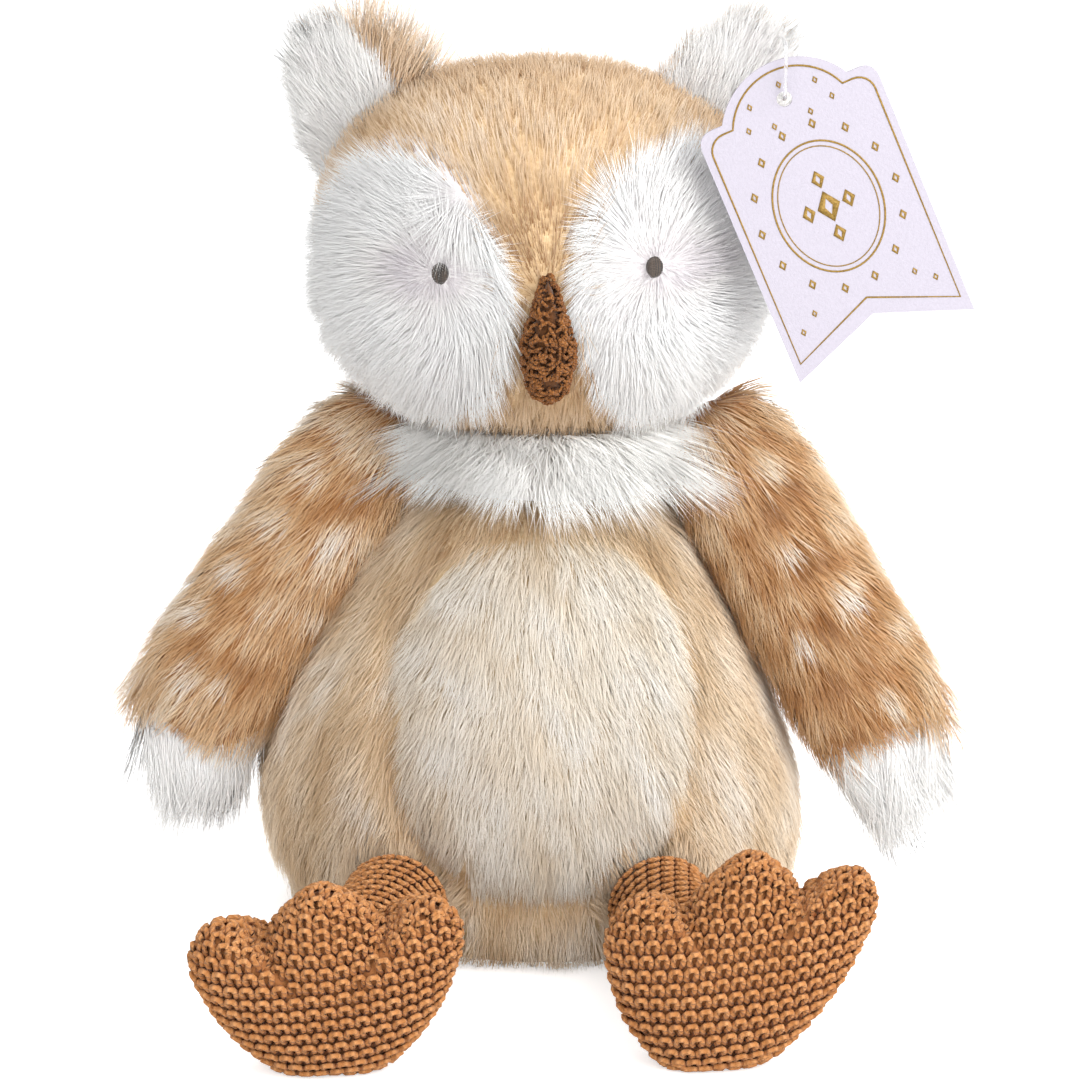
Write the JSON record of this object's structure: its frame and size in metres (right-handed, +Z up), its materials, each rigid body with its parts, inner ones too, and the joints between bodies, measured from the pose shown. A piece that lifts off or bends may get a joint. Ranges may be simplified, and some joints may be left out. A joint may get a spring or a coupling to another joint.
{
  "type": "plush owl",
  "caption": "Sitting stuffed owl with long pile plush, white face discs and collar, movable wings and legs, crocheted three-toed feet and a hang tag.",
  "frame": {"origin": "centre of the flat seat under the body", "axes": "+Z up through the head, -Y the way the owl faces, +X the right of someone who looks at its face"},
  "size_m": [0.2329, 0.2078, 0.2523],
  "materials": {
    "tan_plush": "long pile plush, tan",
    "cream_plush": "long pile plush, cream",
    "white_plush": "long pile plush, white",
    "brown_plush": "long pile plush, brown with cream spots",
    "seat_cloth": "short plush seat fabric",
    "fibre": "polyester fibre filling",
    "pouch_cloth": "cotton pouch of plastic pellets",
    "crochet": "crocheted cotton yarn",
    "boucle": "looped boucle fabric",
    "eye_thread": "satin stitch embroidery thread",
    "card": "textured paper card, printed in gold",
    "clear_plastic": "clear nylon loop"
  },
  "bodies": {
    "torso": {"body_skin": "tan_plush", "tummy_panel": "cream_plush", "base_panel": "seat_cloth", "body_stuffing": "fibre", "pellet_pouch": "pouch_cloth", "neck_ruff": "white_plush"},
    "head": {"head_skin": "tan_plush", "left_face_disc": "white_plush", "right_face_disc": "white_plush", "left_eye": "eye_thread", "right_eye": "eye_thread", "beak": "boucle", "head_stuffing": "fibre", "left_ear_front": "white_plush", "left_ear_back": "tan_plush", "right_ear_front": "white_plush", "right_ear_back": "tan_plush", "tag_loop": "clear_plastic"},
    "tag": {"hang_tag": "card"},
    "left_wing": {"left_wing_front": "brown_plush", "left_wing_back": "brown_plush", "left_wing_stuffing": "fibre", "left_wing_tip": "white_plush"},
    "right_wing": {"right_wing_front": "brown_plush", "right_wing_back": "brown_plush", "right_wing_stuffing": "fibre", "right_wing_tip": "white_plush"},
    "left_leg": {"left_leg_cover": "crochet", "left_leg_stuffing": "fibre", "left_foot_cover": "crochet", "left_foot_stuffing": "fibre"},
    "right_leg": {"right_leg_cover": "crochet", "right_leg_stuffing": "fibre", "right_foot_cover": "crochet", "right_foot_stuffing": "fibre"}
  },
  "joints": [
    {"name": "head_nod", "type": "hinge", "parent": "torso", "child": "head", "pos_m": [0, 0, 0.126], "axis": [1, 0, 0], "range_deg": [-8, 8], "stiffness_Nm_per_rad": 0.6},
    {"name": "left_wing_lift", "type": "hinge", "parent": "torso", "child": "left_wing", "pos_m": [-0.031, -0.003, 0.134], "axis": [0, 1, 0], "range_deg": [0, 40]},
    {"name": "right_wing_lift", "type": "hinge", "parent": "torso", "child": "right_wing", "pos_m": [0.031, -0.003, 0.134], "axis": [0, -1, 0], "range_deg": [0, 40]},
    {"name": "left_leg_lift", "type": "hinge", "parent": "torso", "child": "left_leg", "pos_m": [-0.0385, -0.05862, 0.033], "axis": [-1, 0, 0], "range_deg": [0, 45]},
    {"name": "right_leg_lift", "type": "hinge", "parent": "torso", "child": "right_leg", "pos_m": [0.031, -0.0588, 0.033], "axis": [-1, 0, 0], "range_deg": [0, 45]},
    {"name": "tag_swing", "type": "hinge", "parent": "head", "child": "tag", "pos_m": [0.062, -0.049, 0.2342], "axis": [0, 1, 0], "range_deg": [-12, 18]}
  ]
}
